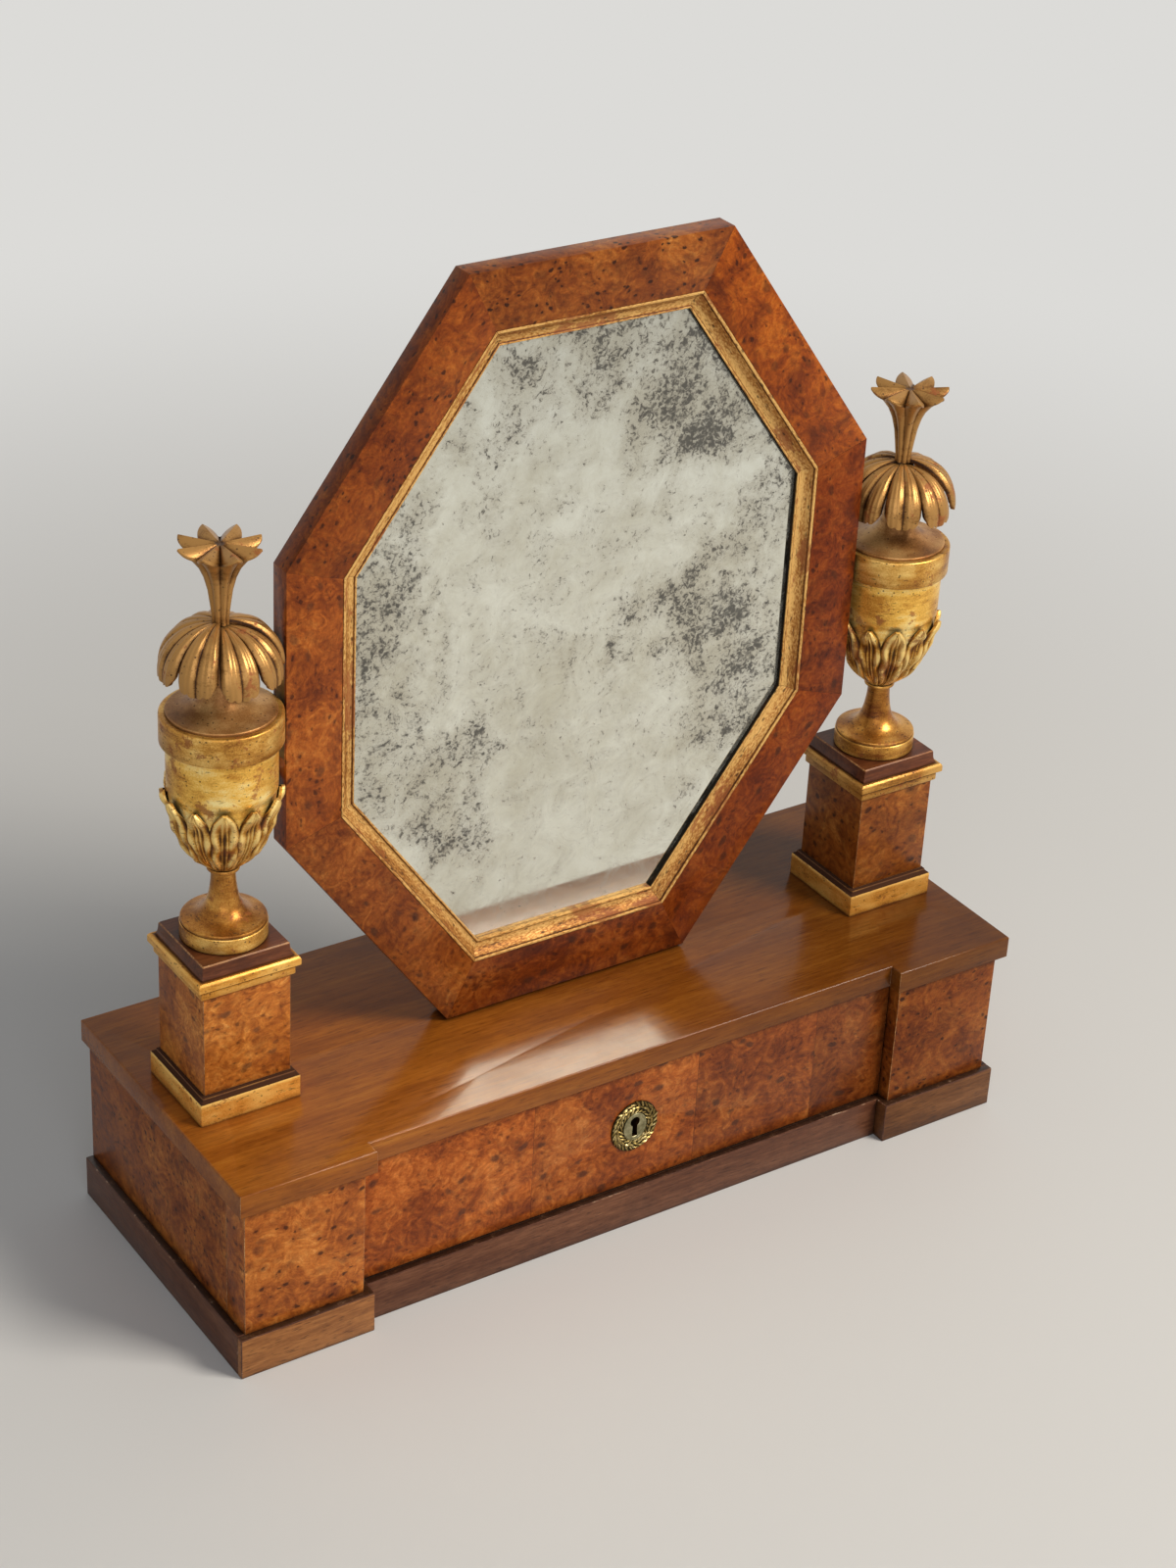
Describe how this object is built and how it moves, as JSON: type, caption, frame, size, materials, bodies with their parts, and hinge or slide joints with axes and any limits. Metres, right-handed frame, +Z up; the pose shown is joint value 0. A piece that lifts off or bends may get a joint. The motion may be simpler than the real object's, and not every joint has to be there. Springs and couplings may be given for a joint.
{
  "type": "toilet mirror with drawer",
  "caption": "Free-standing toilet mirror: octagonal burr-veneered swing glass pivoted between carved gilt urns on pedestals, over a low box with a lockable drawer.",
  "frame": {"origin": "middle of the footprint, on the table surface", "axes": "+Z up, -Y towards the user (the glass and the drawer face -Y), +X to the right seen from the front"},
  "size_m": [0.56, 0.205, 0.6125],
  "materials": {
    "burr_veneer": "French-polished burr veneer",
    "polished_top": "French-polished straight-grained wood",
    "plinth_walnut": "worn wax",
    "red_mahogany": "French-polished",
    "giltwood": "worn gold leaf over gesso and red bole",
    "gilt_brass": "aged gilt",
    "lining_wood": "plain planed",
    "pine_board": "rough, darkened by age",
    "mirror": "old foxed silvering",
    "brass": "dull",
    "iron": "dark wrought iron or steel"
  },
  "bodies": {
    "base": {"base_top": "polished_top", "plinth_block_left": "plinth_walnut", "plinth_block_right": "plinth_walnut", "plinth_side_left": "plinth_walnut", "plinth_side_right": "plinth_walnut", "plinth_centre": "plinth_walnut", "end_block_left": "burr_veneer", "end_block_right": "burr_veneer", "carcase_side_left": "burr_veneer", "carcase_side_right": "burr_veneer", "drawer_partition_left": "lining_wood", "drawer_partition_right": "lining_wood", "carcase_back": "lining_wood", "front_rail": "lining_wood", "drawer_floor": "lining_wood", "drawer_runners": "lining_wood", "drawer_stops": "lining_wood", "pedestal_foot_left": "giltwood", "pedestal_foot_right": "giltwood", "pedestal_die_left": "burr_veneer", "pedestal_die_right": "burr_veneer", "pedestal_cap_left": "giltwood", "pedestal_cap_right": "giltwood", "abacus_left": "red_mahogany", "abacus_right": "red_mahogany", "pedestal_screws": "iron", "urn_foot_left": "giltwood", "urn_foot_right": "giltwood", "urn_bowl_left": "giltwood", "urn_bowl_right": "giltwood", "urn_lid_left": "giltwood", "urn_lid_right": "giltwood", "urn_crown_left": "giltwood", "urn_crown_right": "giltwood", "urn_finial_left": "giltwood", "urn_finial_right": "giltwood", "pivot_bushes": "brass"},
    "drawer": {"drawer_front": "burr_veneer", "drawer_side_left": "lining_wood", "drawer_side_right": "lining_wood", "drawer_back": "lining_wood", "drawer_bottom": "lining_wood", "lock_case": "brass", "escutcheon": "gilt_brass"},
    "bolt": {"lock_bolt": "iron"},
    "mirror": {"frame_top": "burr_veneer", "frame_upper_right": "burr_veneer", "frame_right": "burr_veneer", "frame_lower_right": "burr_veneer", "frame_bottom": "burr_veneer", "frame_lower_left": "burr_veneer", "frame_left": "burr_veneer", "frame_upper_left": "burr_veneer", "gilt_slip": "giltwood", "mirror_glass": "mirror", "backboard": "pine_board", "back_sprigs": "iron", "pivot_plates": "brass"}
  },
  "joints": [
    {"name": "mirror_tilt", "type": "hinge", "parent": "base", "child": "mirror", "pos_m": [0, 0, 0.3725], "axis": [1, 0, 0], "continuous": true},
    {"name": "drawer_slide", "type": "slide", "parent": "base", "child": "drawer", "axis": [0, -1, 0], "range_m": [0, 0.14]},
    {"name": "bolt_throw", "type": "slide", "parent": "drawer", "child": "bolt", "axis": [0, 0, 1], "range_m": [0, 0.006]}
  ]
}
